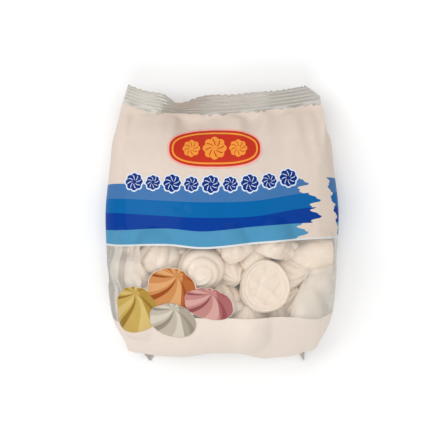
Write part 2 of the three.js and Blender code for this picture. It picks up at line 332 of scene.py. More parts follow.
class Cookie:
    """One piped meringue; its own frame has the base's middle at the origin and the tip up."""

    def __init__(self, radius, height, tilt, toward, kind, steps):
        self.radius = radius
        self.height = height
        self.kind = kind
        self.around, self.up, self.base_steps = steps
        self.phases = RANDOM.uniform(0, 2 * math.pi, 4)
        self.turn = np.array(
            Matrix.Rotation(math.radians(toward), 3, "Z")
            @ Matrix.Rotation(math.radians(tilt), 3, "Y")
            @ Matrix.Rotation(self.phases[0], 3, "Z")
        )
        self.base = np.zeros(3)
        self.local, self.faces = self.surface()

    def surface(self):
        angle = np.linspace(0, 2 * math.pi, self.around, endpoint=False)
        share = np.linspace(0, 1, self.up)[:, None]
        belly = BELLY * self.height
        lower = np.clip(share / LOWER_SHARE, 0, 1)
        above = np.sin(math.pi / 2 * np.clip((share - LOWER_SHARE) / (1 - LOWER_SHARE), 0, 1))
        height = belly * lower + (self.height - belly) * above
        foot = np.sqrt(1 - ((1 - lower) / LOWER_ROUND) ** 2)
        width = foot * np.maximum(1 - above ** self.kind["taper"], 0) ** self.kind["root"]
        ring = self.radius * width
        run, climb = np.gradient(ring[:, 0])[:, None], np.gradient(height[:, 0])[:, None]
        steep = np.hypot(run, climb)
        sunk = self.radius * self.relief(angle, lower, above, width) * width**GROOVE_FADE
        wobble = ROUNDNESS + WOBBLES[0] * np.sin(2 * angle + self.phases[1])
        wobble = wobble + WOBBLES[1] * np.sin(3 * angle + self.phases[2])
        ring = ring * wobble - sunk * climb / steep
        lean = TIP_LEAN * self.radius * above**2
        side = np.stack([
            ring * np.cos(angle) + lean * math.cos(self.phases[3]),
            ring * np.sin(angle) + lean * math.sin(self.phases[3]),
            np.maximum(height + sunk * run / steep, 0),
        ], -1)
        rings = np.concatenate([self.base_rings(side[0]), side[:-1]])
        ends = np.array([[0, 0, BASE_HOLLOW], side[-1].mean(0)])
        return np.concatenate([rings.reshape(-1, 3), ends]), tube_faces(len(rings), self.around)

    def relief(self, angle, lower, above, width):
        """Depth of the grooves that piping leaves, as a share of the radius."""
        kind = self.kind
        if kind["coils"]:
            ridge = np.abs(np.sin(angle / 2 - math.pi * kind["coils"] * (1 - width)))
        else:
            ridge = np.abs(np.cos(kind["flutes"] * (angle / 2 - kind["twist"] * above)))
        return smoothstep(lower, GROOVES_FROM, 1) * kind["depth"] * (1 - ridge**RIDGE_ROUND)

    def base_rings(self, rim):
        """The base, from its middle to its rim: a groove inside the rim and a flaky floor."""
        share = np.linspace(0, 1, self.base_steps + 2)[1:-1, None]
        base = rim[None] * share[..., None]
        place, width, depth = BASE_GROOVE
        groove = depth * np.exp(-(((share - place) / width) ** 2))
        flakes = np.zeros(base.shape[:2])
        for turn, pitch, phase in RANDOM.uniform(FLAKE_LEAST, FLAKE_MOST, (FLAKE_WAVES, 3)):
            run = base[..., 0] * math.cos(turn) + base[..., 1] * math.sin(turn)
            flakes += BASE_FLAKES * np.sin(2 * math.pi * run / pitch + phase)
        cracks = np.zeros_like(flakes)
        low, high = (0, -CRACK_SPREAD), (math.pi, CRACK_SPREAD)
        for turn, offset in RANDOM.uniform(low, high, (BASE_CRACKS, 2)):
            aside = base[..., 0] * math.cos(turn) + base[..., 1] * math.sin(turn)
            aside = aside - offset * self.radius + flakes
            cracks += CRACK_DEPTH * np.exp(-((aside / CRACK_WIDTH) ** 2))
        floor = (BASE_HOLLOW + np.abs(flakes) + cracks) * (1 - smoothstep(share, *FLOOR_EDGE))
        base[..., 2] = groove + floor
        return base

    def points(self):
        return self.local @ self.turn.T + self.base

    def rest_under(self, x, y, top):
        """Places the cookie so that its highest point is at that height."""
        spread = self.local @ self.turn.T
        middle = (spread.max(0) + spread.min(0)) / 2
        self.base = np.array([x - middle[0], y - middle[1], top - spread[:, 2].max()])
        return self

    def rest_on(self, x, y, bottom):
        """Places the cookie so that its lowest point is at that height."""
        spread = self.local @ self.turn.T
        return self.rest_under(x, y, bottom + spread[:, 2].max() - spread[:, 2].min())

    def push_out(self, nodes):
        """Moves film nodes that lie in the cookie's rounded outline onto it."""
        middle = self.base + self.turn[:, 2] * self.height / 2
        near = np.flatnonzero(((nodes - middle) ** 2).sum(1) < (PUSH_REACH * self.radius) ** 2)
        if len(near) == 0:
            return
        local = (nodes[near] - self.base) @ self.turn
        belly = BELLY * self.height
        offset = local - [0, 0, belly]
        tall = np.where(offset[:, 2] > 0, self.height - belly, LOWER_ROUND * belly)
        radii = np.stack([np.full(len(near), self.radius)] * 2 + [tall], 1) * ENVELOPE
        reach = np.linalg.norm(offset / radii, axis=1)
        slope = offset / radii**2
        steep = np.linalg.norm(slope, axis=1) + 1e-9
        depth = reach * (reach - 1) / steep
        out = slope / steep[:, None]
        flat = -local[:, 2] > depth
        depth[flat] = -local[flat, 2]
        out[flat] = (0, 0, -1)
        inside = depth < FILM_GAP
        move = (FILM_GAP - depth[inside])[:, None] * out[inside]
        nodes[near[inside]] += move @ self.turn.T


def tube_faces(rings, around):
    """Triangles of a tube of rings whose two ends close on two last points."""
    ring = closed_round(np.arange(rings * around).reshape(rings, around))
    first = np.full(around, rings * around)
    start = np.stack([first, ring[0, 1:], ring[0, :-1]], -1)
    end = np.stack([first + 1, ring[-1, :-1], ring[-1, 1:]], -1)
    return np.concatenate([grid_triangles(ring), start, end])


# Cookies behind the window and the lower print: x, y, tilt of the tip from upright and the way it
# leans in degrees, radius, height, kind, and how far the top lies under the film
FRONT_COOKIES = (
    (29, -45, 172, 200, 19.0, 25, PLAIN, 0),
    (-14, -33, 12, 250, 17.5, 20, ROSE, 0),
    (-41, -21, 62, 100, 16.5, 28, KISS, 0),
    (9, -17, 66, 130, 15.0, 27, KISS, 0),
    (32, -13, 74, 70, 15.5, 26, KISS, 0),
    (60, -24, 74, 180, 17.5, 30, PLAIN, 0),
    (17, -73, 40, 90, 17.0, 26, PLAIN, -1),
    (1, -53, 78, 110, 15.0, 26, KISS, 6),
    (-60, -38, 60, 150, 14.0, 26, KISS, 1),
    (-41, -51, 15, 40, 17.0, 27, KISS, 1),
    (55, -56, 100, 330, 15.0, 26, PLAIN, 1),
    (-16, -73, 30, 100, 15.5, 26, KISS, 2),
    (-52, -66, 50, 200, 14.0, 26, KISS, 2),
)
# Smaller cookies that show in the gaps between those
GAP_COOKIES = (
    (6, -35, 30, 300, 13.0, 22, KISS, 6),
    (47, -38, 60, 20, 13.0, 22, KISS, 6),
    (38, -64, 40, 120, 13.0, 22, KISS, 6),
    (-29, -20, 20, 220, 12.5, 22, KISS, 6),
    (22, -24, 50, 250, 12.0, 22, PLAIN, 6),
    (-63, -17, 40, 60, 13.0, 24, KISS, 3),
    (63, -43, 70, 200, 12.0, 22, KISS, 4),
    (-28, -42, 60, 10, 13.0, 22, KISS, 6),
    (-29, -60, 50, 30, 13.0, 22, KISS, 5),
    (9, -61, 20, 60, 12.0, 22, PLAIN, 6),
    (46, -20, 40, 150, 12.0, 22, KISS, 7),
    (47, -56, 30, 60, 12.0, 22, KISS, 5),
)
# Cookies by rule: rows under the print, rows of the layer below, and how those cookies vary
PANEL_ROWS_Y = (17, 46)
DEEP_ROWS_Y = (-64, -31, 2, 35)
ROW_X = (-51, -17, 17, 51)
COOKIE_FLOOR = 1.2
PANEL_DEPTH = 1.0
FOOTPRINT = 0.75
COOKIE_RADIUS = (14.0, 16.5)
COOKIE_HEIGHT = (25.0, 28.0)
JITTER = 2.0
PANEL_TILTS = (0, 60)
DEEP_TILTS = (150, 180)
ROSE_SHARE = 0.25
# Nodes of a cookie: round it, up its side, and from the middle of its base to the rim
FINE_STEPS = (100, 42, 5)
BASE_UP_STEPS = (100, 42, 26)
GAP_STEPS = (56, 24, 4)
COARSE_STEPS = (36, 14, 3)
BASE_UP_TILT = 90


def film_height(film, x, y, around=0):
    """Height of the front of the film above a place, or its lowest height round that place."""
    front = film[:, FRONT_LEFT - GUSSET_STEPS:FRONT_RIGHT + GUSSET_STEPS].reshape(-1, 3)
    heights = []
    for dx, dy in ((0, 0), (around, 0), (-around, 0), (0, around), (0, -around)):
        nearest = np.argmin((front[:, 0] - x - dx) ** 2 + (front[:, 1] - y - dy) ** 2)
        heights.append(front[nearest, 2])
    return min(heights)


def random_cookie(tilts, steps):
    radius = RANDOM.uniform(*COOKIE_RADIUS)
    height = RANDOM.uniform(*COOKIE_HEIGHT)
    kind = ROSE if RANDOM.random() < ROSE_SHARE else KISS
    return Cookie(radius, height, RANDOM.uniform(*tilts), RANDOM.uniform(0, 360), kind, steps)


def fill_bag(film):
    """The cookies: those behind the window, then a front and a back layer by rule."""
    cookies = []
    for row in FRONT_COOKIES + GAP_COOKIES:
        x, y, tilt, toward, radius, height, kind, sunk = row
        steps = BASE_UP_STEPS if tilt > BASE_UP_TILT else FINE_STEPS
        if row in GAP_COOKIES:
            steps = GAP_STEPS
        cookie = Cookie(radius, height, tilt, toward, kind, steps)
        cookies.append(cookie.rest_under(x, y, film_height(film, x, y) + PRESS_OUT - sunk))
    for y in PANEL_ROWS_Y:
        for x in ROW_X:
            cookie = random_cookie(PANEL_TILTS, COARSE_STEPS)
            place = np.array([x, y]) + RANDOM.uniform(-JITTER, JITTER, 2)
            ceiling = film_height(film, *place, FOOTPRINT * cookie.radius)
            cookies.append(cookie.rest_under(*place, ceiling - PANEL_DEPTH))
    for y in DEEP_ROWS_Y:
        for x in ROW_X:
            cookie = random_cookie(DEEP_TILTS, COARSE_STEPS)
            place = np.array([x, y]) + RANDOM.uniform(-JITTER, JITTER, 2)
            cookies.append(cookie.rest_on(*place, COOKIE_FLOOR))
    return cookies


# Draping of the film over the cookies

# How close the film lies to a cookie, and how it is drawn in, sinks, stretches and smooths
FILM_GAP = 0.5
PRESS_OUT = -0.3
DRAPE_STEPS = 220
PULL = 0.04
MOST_SINK = 1.0
SLACK = 1.012
STRETCH = 0.9
SQUEEZE = 0.25
SMOOTHING = 0.1
CREASE_SEED = 0.35
# Folds: number, longest, height and how wide they are at least and at most
TOP_FOLDS = (16, 66.0, 1.8, (2.4, 4.6))
BOTTOM_FOLDS = (13, 34.0, 1.0, (1.8, 3.6))
SMALL_CREASES = (60, 26.0, 0.45, (1.5, 2.6))
SIDE_FOLDS = (12, 44.0, 0.9, (1.5, 2.4))
# Places of the folds: spread along the seals, of small creases, and of those beside the window
SIDE_FOLDS_FROM = (52.0, -62.0)
SIDE_FOLDS_TO = (90.0, -30.0)
FOLD_SPREAD = 74.0
CREASE_SPREAD = 105.0
# How folds lean, fan out, bend, vary in length and place, and taper along their length
FOLD_LEAN = 0.12
FOLD_FAN = 0.002
FOLD_BEND = 0.08
FOLD_PLACES = (0.2, 0.8)
FOLD_LENGTHS = (0.4, 1)
CREASE_LENGTHS = (0.3, 1)
CREASE_LEAN = 0.6
SIDE_FOLD_LEAN = 0.1
FOLD_RISE = (-0.15, 0.1)
FOLD_FALL = (0.2, 1)
# Creases along the panels' edges: distance across and height
EDGE_CREASES = ((66.0, 0.3), (91.0, -0.6))
EDGE_CREASE_WIDTH = 2.0
# Stations over which the film comes free of the bottom seal, and closes towards the top seal
OPENING = 0.6
CLOSING = 0.8
CLOSED = 0.15
# Stations over which the panels' edges sharpen in the neck, and columns that they hold flat
EDGES_SHARPEN = (8.5, 10.5)
EDGE_COLUMNS = 10
# Stations between which the print starts to keep its place where folds lift the film
PRINT_HOLDS = (5, 7)


def neighbour_links(rows, columns):
    """Pairs of neighbouring nodes, in sets whose pairs share no node."""
    node = np.arange(rows * columns).reshape(rows, columns)
    right = np.roll(node, -1, axis=1)
    left = np.roll(node, 1, axis=1)
    links = []
    for start in (0, 1):
        links.append((node[:, start::2], right[:, start::2]))
        for other in (node, right, left):
            links.append((node[start:-1:2], other[start + 1::2]))
    return [(a.ravel(), b.ravel()) for a, b in links]


def grid_normals(grid):
    """Outward normals of a grid that closes round its columns."""
    along = np.gradient(grid, axis=0)
    around = np.roll(grid, -1, axis=1) - np.roll(grid, 1, axis=1)
    normal = np.cross(around, along)
    return normal / (np.linalg.norm(normal, axis=-1, keepdims=True) + 1e-12)


def drape(rest, pinned, cookies):
    """Draws the film in until it lies on the cookies, keeping its lengths."""
    rows, columns = rest.shape[:2]
    links = neighbour_links(rows, columns)
    flat = rest.reshape(-1, 3)
    lengths = [SLACK * np.linalg.norm(flat[b] - flat[a], axis=1) for a, b in links]
    held = pinned.repeat(columns)
    outward = grid_normals(rest).reshape(-1, 3)
    film = rest + grid_normals(rest) * RANDOM.normal(0, CREASE_SEED, (rows, columns, 1))
    nodes = film.reshape(-1, 3)
    nodes[held] = flat[held]
    for _ in range(DRAPE_STEPS):
        grid = nodes.reshape(rows, columns, 3)
        mean = (np.roll(grid, 1, axis=1) + np.roll(grid, -1, axis=1)) / 4
        mean[1:-1] += (grid[2:] + grid[:-2]) / 4
        smooth = np.zeros_like(grid)
        smooth[1:-1] = SMOOTHING * (mean - grid)[1:-1]
        nodes += (smooth - PULL * grid_normals(grid)).reshape(-1, 3)
        for (a, b), length in zip(links, lengths):
            apart = nodes[b] - nodes[a]
            span = np.linalg.norm(apart, axis=1)
            give = np.where(span > length, STRETCH, SQUEEZE) / 2
            move = (give * (span - length) / (span + 1e-9))[:, None] * apart
            nodes[a] += move
            nodes[b] -= move
        sunk = np.maximum(-((nodes - flat) * outward).sum(1) - MOST_SINK, 0)
        nodes += sunk[:, None] * outward
        for cookie in cookies:
            cookie.push_out(nodes)
        nodes[:, 2] = np.maximum(nodes[:, 2], FLOOR_GAP)
        nodes[held] = flat[held]
    return nodes.reshape(rows, columns, 3)


def refined(grid):
    """A grid that closes round its columns, with a node added between each two along both ways."""
    def between(values, wrap):
        before, after = (values[-1:], values[:2]) if wrap else (values[:1], values[-1:])
        padded = np.concatenate([before, values, after])
        count = len(padded) - 3
        inner = padded[1:count + 1] + padded[2:count + 2]
        outer = padded[:count] + padded[3:]
        made = np.empty((len(values) + count, *values.shape[1:]))
        made[::2] = values
        made[1::2] = (9 * inner - outer) / 16
        return made
    rows = between(grid, False)
    return between(rows.swapaxes(0, 1), True).swapaxes(0, 1)


def creases(across, up, bottom, top):
    """Height of the folds that run from the seals, the panels' edges and small creases."""
    folds = []
    for kind, edge, way in ((TOP_FOLDS, top, -1), (BOTTOM_FOLDS, bottom, 1)):
        count, longest, height, widths = kind
        for k in range(count):
            start = ((k + RANDOM.uniform(*FOLD_PLACES)) / count - 0.5) * 2 * FOLD_SPREAD
            angle = way * (math.pi / 2 - RANDOM.normal(0, FOLD_LEAN) - FOLD_FAN * start)
            length = RANDOM.uniform(*FOLD_LENGTHS) * longest
            folds.append((start, edge, angle, length, height, RANDOM.uniform(*widths)))
    low, high = (-CREASE_SPREAD, bottom), (CREASE_SPREAD, top)
    for kind, low, high, lean in (
        (SMALL_CREASES, low, high, CREASE_LEAN),
        (SIDE_FOLDS, SIDE_FOLDS_FROM, SIDE_FOLDS_TO, SIDE_FOLD_LEAN),
    ):
        count, longest, height, widths = kind
        for k in range(count):
            x, y = RANDOM.uniform(low, high)
            side = 1 if k % 2 else -1
            angle = RANDOM.normal(math.pi / 2, lean)
            length = RANDOM.uniform(*CREASE_LENGTHS) * longest
            folds.append((side * x, y, angle, length, height, RANDOM.uniform(*widths)))
    total = np.zeros_like(across)
    for x, y, angle, length, height, width in folds:
        c, s = math.cos(angle), math.sin(angle)
        along = ((across - x) * c + (up - y) * s) / length
        bend = RANDOM.normal(0, FOLD_BEND) * length * along**2
        aside = (up - y) * c - (across - x) * s - bend
        taper = smoothstep(along, *FOLD_RISE) * (1 - smoothstep(along, *FOLD_FALL))
        total += RANDOM.choice([-1, 1]) * height * taper / np.cosh(aside / width)
    for place, height in EDGE_CREASES:
        total += height / np.cosh((np.abs(across) - place) / EDGE_CREASE_WIDTH)
    return total


def panel_edges(columns):
    """How near each column lies to one of the panels' four edges, 1 on it and 0 well clear."""
    edges = np.array([2 * PANEL_STEPS, FRONT_LEFT, FRONT_RIGHT, FRONT_RIGHT + 2 * GUSSET_STEPS])
    apart = np.abs(np.arange(columns)[:, None] - edges).min(1)
    return 1 - smoothstep(apart, 0, EDGE_COLUMNS)


def make_film():
    """Draped nodes of the whole film, the print's places on its body, and the cookies in it."""
    body, seal, across, up, stations = film_rest()
    cookies = fill_bag(body)
    coarse = body[::2, ::2]
    pinned = (stations[::2] <= BOTTOM_SEAM) | (stations[::2] >= TOP_SEAM)
    moved = drape(coarse, pinned, cookies) - coarse
    normals = grid_normals(coarse)
    outward = (moved * normals).sum(-1, keepdims=True)
    opened = smoothstep(stations, BOTTOM_SEAM, BOTTOM_SEAM + OPENING)
    closed = smoothstep(stations, TOP_SEAM - CLOSING, TOP_SEAM - CLOSED)
    held = smoothstep(stations, *EDGES_SHARPEN)[:, None] * panel_edges(body.shape[1])
    free = ((opened - closed)[:, None] * (1 - held))[..., None]
    draped = body + free * refined(outward) * grid_normals(body)
    seam = up[sum(STATION_ROWS[:BOTTOM_SEAM])].min()
    folds = creases(across[:, :-1], up[:, :-1], seam, up[-1].min())
    draped += free * folds[..., None] * grid_normals(draped)
    draped[..., 2] = np.maximum(draped[..., 2], FLOOR_GAP)
    slid = smoothstep(stations, *PRINT_HOLDS)[:, None] * (draped - body)[..., 1]
    up = up + closed_round(slid)
    return np.concatenate([draped, seal]), across, up, stations, cookies


# Meshes

def mesh_object(name, points, faces, materials, face_material=None):
    mesh = bpy.data.meshes.new(name)
    mesh.from_pydata((points * MM).tolist(), [], faces.tolist())
    for material in materials:
        mesh.materials.append(material)
    if face_material is not None:
        mesh.polygons.foreach_set("material_index", face_material.astype(np.int32))
    mesh.polygons.foreach_set("use_smooth", np.ones(len(faces), bool))
    mesh.update()
    piece = bpy.data.objects.new(name, mesh)
    bpy.context.scene.collection.objects.link(piece)
    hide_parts("bag")
    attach(piece, "root")
    return piece


def film_mesh(nodes, stations, materials):
    """The closed film: clear in the body, silvery in the seals, and brighter left of the kink, where
    the seal's colour is painted light.
    """
    rows, columns = nodes.shape[:2]
    node = np.arange(rows * columns).reshape(rows, columns)
    sides = grid_triangles(closed_round(node))
    kind = np.zeros((rows - 1, 2 * columns), int)
    seal = nodes[len(stations) - 1:-1, :, 0]
    # Seal faces left of the kink take the lighter seal film, which is painted light.
    kind[len(stations) - 1:] = np.where(seal < PAINTED_LIGHT_SEAL_X, 2, 1).repeat(2, axis=1)
    kind[:sum(STATION_ROWS[:BOTTOM_SEAM])] = 1
    ends = np.concatenate([end_strip(node[0]), end_strip(node[-1])[:, ::-1]])
    faces = np.concatenate([sides, ends[:, [0, 1, 2]], ends[:, [0, 2, 3]]])
    kinds = np.concatenate([kind.ravel(), np.full(len(faces) - kind.size, 1)])
    piece = mesh_object("film", nodes.reshape(-1, 3), faces, materials, kinds)


def end_strip(ring):
    """Faces that close one end of the film, between its front, its back and its two gussets."""
    k, fold = np.arange(4 * PANEL_STEPS), np.arange(1, GUSSET_STEPS)
    pairs = (
        (FRONT_LEFT + k, 2 * PANEL_STEPS - k),
        (FRONT_LEFT - fold, 2 * PANEL_STEPS + fold),
        (FRONT_RIGHT + 2 * GUSSET_STEPS - fold, FRONT_RIGHT + fold),
    )
    strips = [np.stack([a, b, b - 1, a + 1], -1) for a, b in pairs]
    return ring[np.concatenate(strips) % len(ring)]


def cookie_mesh(cookies, shift, material):
    points, faces = joined([(cookie.points() + shift, cookie.faces) for cookie in cookies])
    piece = mesh_object("meringues", points, faces, [material])


# Print

class Print:
    """Fields of colour cut out of the film's body, each lifted a little off it."""

    def __init__(self, nodes, across, up):
        body = nodes[:len(up)]
        self.places = [closed_round(body), closed_round(grid_normals(body)), across, up]
        self.seam = up[sum(STATION_ROWS[:BOTTOM_SEAM])].max()
        self.layers = {}

    def block(self, detail, near):
        """Nodes, normals and places of the film, or of the part near a place, doubled detail times."""
        parts = self.places
        if near:
            x, y, aside, along = near
            close = (np.abs(parts[2] - x) < aside) & (np.abs(parts[3] - y) < along)
            rows, columns = covering(close.any(1)), covering(close.any(0))
            parts = [part[rows, columns] for part in parts]
        for _ in range(detail):
            parts = [doubled(part) for part in parts]
        return parts

    def add(self, piece, material, lift, field, detail=1, near=None):
        """Adds to a piece the part of the film where the field of (across, up) is positive."""
        points, normals, across, up = self.block(detail, near)
        lifted = (points + lift * normals).reshape(-1, 3)
        triangles = grid_triangles(np.arange(across.size).reshape(across.shape))
        cut = clip(lifted, triangles, field(across, up).ravel())
        self.layers.setdefault(piece, []).append((material, *cut))

    def build(self):
        for name, layers in self.layers.items():
            points, faces = joined([layer[1:] for layer in layers])
            kinds = np.repeat(np.arange(len(layers)), [len(layer[2]) for layer in layers])
            piece = mesh_object(name, points, faces, [layer[0] for layer in layers], kinds)


def covering(hit):
    """The stretch of a row of nodes that holds all that are hit, and one more at each end."""
    first, last = np.flatnonzero(hit)[[0, -1]]
    return slice(max(first - 1, 0), last + 2)


def doubled(values):
    """Values on a grid with straight midpoints added along both ways."""
    for axis in (0, 1):
        values = values.swapaxes(0, axis)
        made = np.empty((2 * len(values) - 1, *values.shape[1:]))
        made[::2] = values
        made[1::2] = (values[1:] + values[:-1]) / 2
        values = made.swapaxes(0, axis)
    return values


def clip(points, triangles, value):
    """The part of a triangle mesh where value is positive, as points and triangles."""
    inside = (value > 0)[triangles]
    count = inside.sum(1)
    def turned(chosen, odd):
        first = np.argmax(inside[chosen] == odd, axis=1)
        order = (first[:, None] + np.arange(3)) % 3
        return np.take_along_axis(triangles[chosen], order, 1)
    one = turned(count == 1, True)
    two = turned(count == 2, False)
    edges = np.concatenate([one[:, [0, 1]], one[:, [0, 2]], two[:, [0, 1]], two[:, [0, 2]]])
    pairs, which = np.unique(np.sort(edges, 1), axis=0, return_inverse=True)
    which = which.ravel() + len(points)
    start, end = pairs.T
    share = (value[start] / (value[start] - value[end]))[:, None]
    crossings = points[start] + share * (points[end] - points[start])
    n, m = len(one), len(two)
    near, far = which[:n], which[n:2 * n]
    left, right = which[2 * n:2 * n + m], which[2 * n + m:]
    made = np.concatenate([
        triangles[count == 3],
        np.stack([one[:, 0], near, far], 1),
        np.stack([left, two[:, 1], two[:, 2]], 1),
        np.stack([left, two[:, 2], right], 1),
    ])
    used, faces = np.unique(made, return_inverse=True)
    return np.concatenate([points, crossings])[used], faces.reshape(-1, 3)


# Places on the print, in millimetres across from the front's middle and up along the bag
WINDOW_TOP = -18.4
LINE_WIDTH = 1.3
BAND_EDGES = (24.5, 13.9, 3.5, -8.0, WINDOW_TOP)
WAVE_X = (-76, -38, -12, 22, 56, 80)
UPPER_WAVE = (0.8, -1.4, -2.6, -1.6, 4.0, 5.5)
LOWER_WAVE = (-0.4, 1.6, -0.2, 3.0, 5.2, 5.4)
BAND_ENDS = (55.0, 63.5, 64.5, 55.0)
RESTART = 74.0
RESTART_UP = 30.0
RESTART_SLOPE = 0.32
# Spikes at the bands' ends: pitch and length
LONG_SPIKES = (8.3, 9.0)
SHORT_SPIKES = (3.4, 3.0)
SPIKE_POWER = 1.6
SPIKE_MEAN = 0.4
SPIKE_SHIFT = 0.37
RESTART_SPIKES = 0.4
STRIP_TOP = -66.7
STRIP_FALL = 7.0
STRIP_SIDES = (30, 78)
STRIP_LEFT_FALL = 5.0
STRIP_LEFT = (35, 70)
BACK_FROM = 110.0
# Clouded film: where it starts left and right of the window, its layers, and the streaks in it. The
# streaks paint the light and shade of folds, and the dark layer is painted fold shade
LEFT_HAZE = 57.0
RIGHT_HAZE = (79.0, 57.0)
RIGHT_HAZE_UP = (-31.0, -38.0)
RIGHT_HAZE_SLOPE = 0.36
# Two pale layers of clouded film, and a dark layer of painted fold shade
HAZE_AND_FOLD_SHADE_COLOURS = ((246, 239, 228), (246, 239, 228), (168, 162, 152))
HAZE_ALPHA = 0.36
PAINTED_SHADE_LAYER = 2
HAZE_STEP = 3.0
HAZE_SOFT = (4.0, 0.2)
HAZE_STREAKS = (5.7, 12.0)
STREAK_DRIFT = 9.0
STREAKS_END = (78.0, 84.0)
# How far the sealed film reaches below the top seal, and how much further at its left and right ends
SEAM_DROP = 0.8
SEAM_DROPS = (2.2, 0.8)
SEAM_ENDS = (20, 60)
# Wrinkles below the top seal: number, spread, and least and most of half width and length
TEETH = 22
TEETH_SPREAD = 68.0
TEETH_SIZES = ((1.2, 0.4), (4.0, 2.4))
TEETH_NEAR = (0.0, 79.0, 72.0, 9.0)


def wave(across, upper):
    heights = UPPER_WAVE if upper else LOWER_WAVE
    knots = np.array(WAVE_X, float)
    place = np.clip(across, knots[0], knots[-1])
    first = np.clip(np.searchsorted(knots, place, side="right") - 1, 0, len(knots) - 2)
    padded = np.array([heights[0], *heights, heights[-1]], float)
    share = (place - knots[first]) / (knots[first + 1] - knots[first])
    return hermite([padded[first + k] for k in range(4)], share, CURVE_TENSION)


def band_edge(index, across):
    return BAND_EDGES[index] + wave(across, index < 3)


def ragged(up, index):
    """Brush-like spikes along the end of a band."""
    total = 0
    for pitch, length in (LONG_SPIKES, SHORT_SPIKES):
        tooth = np.abs((up / pitch + SPIKE_SHIFT * index) % 1 - 0.5) * 2
        total = total + length * (tooth**SPIKE_POWER - SPIKE_MEAN)
    return total


def band(index):
    def field(across, up):
        top = band_edge(index, across) - up
        bottom = up - band_edge(index + 1, across)
        end = BAND_ENDS[index] + ragged(up, index) - across
        return np.minimum(np.minimum(top, bottom), np.maximum(end, restart(across, up)))
    return field


def restart(across, up):
    """How far a place lies past the slanted, ragged line where the bands begin again."""
    line = RESTART + RESTART_SLOPE * np.maximum(RESTART_UP - up, 0)
    return across - line - RESTART_SPIKES * ragged(up, 2)


def white_line(across, up):
    edge = band_edge(4, across)
    return np.minimum(edge - up, up - edge + LINE_WIDTH)


def panel(across, up):
    return up - band_edge(4, across)


def seam_teeth():
    """Short wrinkles of sealed film that reach below the top seal."""
    low, high = (-TEETH_SPREAD, *TEETH_SIZES[0]), (TEETH_SPREAD, *TEETH_SIZES[1])
    teeth = RANDOM.uniform(low, high, (TEETH, 3))

    def field(across, up):
        reach = np.zeros_like(across)
        for x, width, length in teeth:
            reach = np.maximum(reach, length * (1 - np.abs(across - x) / width))
        drop = np.where(across < 0, *SEAM_DROPS) * smoothstep(np.abs(across), *SEAM_ENDS)
        return up - seam_line(across) + SEAM_DROP + drop + reach
    return field


def seam_line(across):
    """How far up the bag the top seal starts."""
    front, corner, bow = STATIONS[TOP_SEAM][[0, 4, 7]]
    power = np.where(across < 0, LEFT_BOW_POWER, RIGHT_BOW_POWER)
    share = np.minimum(np.abs(across) / (corner * HALF_PANEL), 1)
    return front * HALF_LENGTH + bow * share**power


def strip_edge(across):
    sides = STRIP_FALL * smoothstep(np.abs(across), *STRIP_SIDES)
    return STRIP_TOP - sides - STRIP_LEFT_FALL * smoothstep(-across, *STRIP_LEFT)


def bottom_strip(seam):
    def field(across, up):
        return np.minimum(strip_edge(across) - up, up - seam)
    return field


def right_haze_edge(up):
    """How far across the clouded film starts on the right of the window."""
    down = smoothstep(-up, -RIGHT_HAZE_UP[0], -RIGHT_HAZE_UP[1])
    slope = RIGHT_HAZE_SLOPE * np.maximum(RIGHT_HAZE_UP[1] - up, 0)
    return RIGHT_HAZE[0] + (RIGHT_HAZE[1] - RIGHT_HAZE[0]) * down - slope


def haze_and_painted_folds(layer):
    """Clouded film beside the window, in streaks along the bag that close up outwards and paint fold
    light and shade.
    """
    def field(across, up):
        drift = np.sin(up / STREAK_DRIFT + layer)
        waves = [np.sin(2 * math.pi * across / width + drift + width * layer) for width in HAZE_STREAKS]
        side = smoothstep(np.abs(across), *STREAKS_END)
        streaks = sum(waves) * (1 - side)
        beside = np.maximum(-across - LEFT_HAZE, across - right_haze_edge(up)) - HAZE_STEP * layer
        soft = np.where(across < 0, *HAZE_SOFT)
        clouded = np.minimum(beside + soft * streaks, BACK_FROM - np.abs(across))
        # The dark layer is painted fold shade, laid only in streaks on the left.
        if layer == PAINTED_SHADE_LAYER:
            clouded = np.minimum(clouded, np.where(across < 0, streaks + side, -1))
        below = band_edge(4, across) - LINE_WIDTH - up
        return np.minimum(clouded, np.minimum(below, up - strip_edge(across)))
    return field


def back_panel(across, up):
    return np.abs(across) - BACK_FROM


# Badge: middle, half width, half height and how square its ends are
BADGE = (-5.0, 48.3, 31.0, 13.0)
BADGE_POWER = 2.6
BADGE_GLOW = 1.4
BADGE_RING = (1.6, 2.8)
# Rosettes: size of those in the badge and in the row, lobes, and the lines between the lobes
BADGE_ROSETTES = ((-16.0, 6.2), (0.0, 8.2), (16.0, 6.2))
ROW_X_ENDS = (-60.0, 45.0)
ROW_COUNT = 9
ROW_UP = 26.0
ROW_SIZES = (6.0, 5.0)
OUTLINE = 1.0
LOBES = 8
LOBE_DEPTH = 0.16
SPOKE_WIDTH = 0.055
SPOKE_TWIST = 0.7
SPOKE_ENDS = (0.22, 0.78)
# How much of the film round a rosette is refined, as a share of its size
BADGE_REACH = 1.3
ROW_REACH = 1.5


def badge(grow):
    x, y, width, height = BADGE
    def field(across, up):
        p = np.abs(across - x) / (width + grow)
        q = np.abs(up - y) / (height + grow)
        return 1 - (p**BADGE_POWER + q**BADGE_POWER)
    return field


def ring(outer, inner):
    def field(across, up):
        return np.minimum(outer(across, up), -inner(across, up))
    return field


def rosette(x, y, size, grow=0):
    """A piped rosette seen from above: a round shape with lobes."""
    def field(across, up):
        away = np.hypot(across - x, up - y) / size
        angle = np.arctan2(up - y, across - x)
        lobe = 1 - np.abs(np.cos(LOBES / 2 * angle))
        return 1 - LOBE_DEPTH * lobe + grow / size - away
    return field


def rosette_lines(x, y, size):
    """Curved lines from between the lobes towards the rosette's middle."""
    def field(across, up):
        away = np.hypot(across - x, up - y) / size
        angle = np.arctan2(up - y, across - x) + SPOKE_TWIST * (1 - away)
        aside = away * np.abs(np.cos(LOBES / 2 * angle)) / (LOBES / 2)
        along = np.minimum(away - SPOKE_ENDS[0], SPOKE_ENDS[1] - away)
        return np.minimum(SPOKE_WIDTH * away**0.5 - aside, along)
    return field


